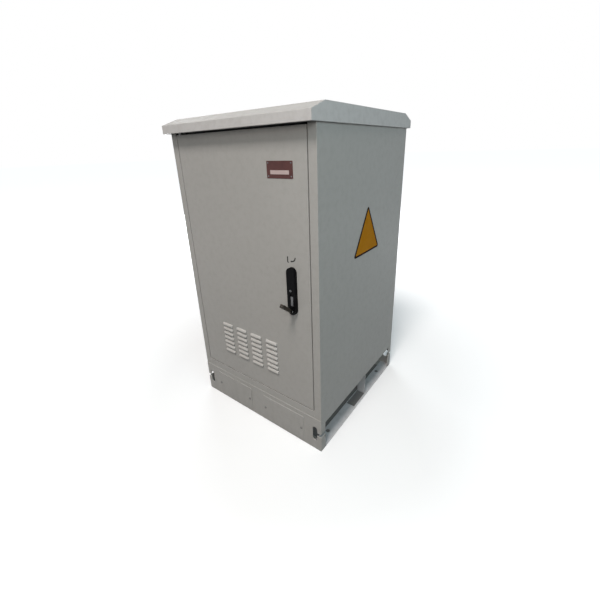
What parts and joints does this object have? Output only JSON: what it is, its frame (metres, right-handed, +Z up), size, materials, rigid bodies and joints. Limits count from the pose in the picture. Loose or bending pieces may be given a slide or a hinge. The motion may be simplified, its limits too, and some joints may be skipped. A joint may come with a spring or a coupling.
{
  "type": "roadside utility cabinet",
  "caption": "Free-standing outdoor sheet-steel equipment cabinet on an open plinth, with a canopy roof, a louvred door and a rod lock worked by a pop-out lever.",
  "frame": {"origin": "on the ground at the centre of the floor anchor holes, which is the centre of the cabinet's plan", "axes": "+Z up, -Y out through the door, +X to the right seen from the front"},
  "size_m": [0.66, 0.7493, 1.2],
  "materials": {
    "paint": "fine textured powder coat, light grey",
    "zinc": "bright zinc plate",
    "steel": "bare stainless steel",
    "lock_black": "black powder coat, semi-gloss",
    "rubber": "black sponge rubber",
    "nylon": "black moulded nylon",
    "copper": "bare copper bar",
    "brown_plate": "dark red-brown lacquered plate",
    "filter": "grey non-woven filter mat"
  },
  "bodies": {
    "cabinet": {"plinth_front_beam": "paint", "plinth_rear_beam": "paint", "plinth_left_rail": "paint", "plinth_right_rail": "paint", "plinth_cover_left": "paint", "plinth_cover_right": "paint", "plinth_cover_screws": "zinc", "left_side_panel": "paint", "right_side_panel": "paint", "rear_panel": "paint", "floor_plate": "paint", "gland_plate": "zinc", "cable_grommets": "rubber", "sill": "paint", "head_rail": "paint", "top_plate": "paint", "door_seal": "rubber", "roof_canopy": "paint", "roof_spacers": "zinc", "roof_bolts": "zinc", "rack_rail_front_left": "zinc", "rack_rail_front_right": "zinc", "rack_rail_rear_left": "zinc", "rack_rail_rear_right": "zinc", "rack_struts": "zinc", "rack_bolts": "steel", "earth_bar": "copper", "earth_standoffs": "nylon", "upper_hinge_bracket": "lock_black", "lower_hinge_bracket": "lock_black", "upper_hinge_pin": "steel", "lower_hinge_pin": "steel"},
    "door": {"door_panel": "paint", "hinge_blocks": "zinc", "upper_hinge_bush": "nylon", "lower_hinge_bush": "nylon", "door_stiffeners": "paint", "filter_frame": "zinc", "filter_mat": "filter", "nameplate": "brown_plate", "nameplate_rivets": "steel", "lock_plate": "lock_black", "lock_back_plate": "zinc", "pop_out_spring": "steel", "key_barrel": "lock_black", "lock_screws": "zinc", "rod_guides": "zinc"},
    "hub": {"lever_hub": "lock_black", "lever_pin": "steel", "cam_disc": "zinc", "cam_screw": "steel"},
    "lever": {"lever": "lock_black"},
    "key_plug": {"key_plug": "steel"},
    "upper_rod": {"upper_rod": "zinc"},
    "lower_rod": {"lower_rod": "zinc"}
  },
  "joints": [
    {"name": "door_hinge", "type": "hinge", "parent": "cabinet", "child": "door", "pos_m": [-0.283, -0.317, 0.66], "axis": [0, 0, -1], "range_deg": [0, 105]},
    {"name": "lever_turn", "type": "hinge", "parent": "door", "child": "hub", "pos_m": [0.222, -0.344, 0.578], "axis": [0, -1, 0], "range_deg": [0, 90]},
    {"name": "lever_lift", "type": "hinge", "parent": "hub", "child": "lever", "pos_m": [0.222, -0.344, 0.578], "axis": [1, 0, 0], "range_deg": [-50, 35]},
    {"name": "key_turn", "type": "hinge", "parent": "door", "child": "key_plug", "pos_m": [0.222, -0.339, 0.65], "axis": [0, -1, 0], "range_deg": [0, 90]},
    {"name": "upper_rod_slide", "type": "slide", "parent": "door", "child": "upper_rod", "axis": [0, 0, 1], "range_m": [0, 0.0285]},
    {"name": "lower_rod_slide", "type": "slide", "parent": "door", "child": "lower_rod", "axis": [0, 0, -1], "range_m": [0, 0.0285]}
  ],
  "couplings": [
    {"joint": "upper_rod_slide", "follows": "lever_turn", "m_per_rad": 0.018006},
    {"joint": "lower_rod_slide", "follows": "lever_turn", "m_per_rad": 0.018006}
  ]
}
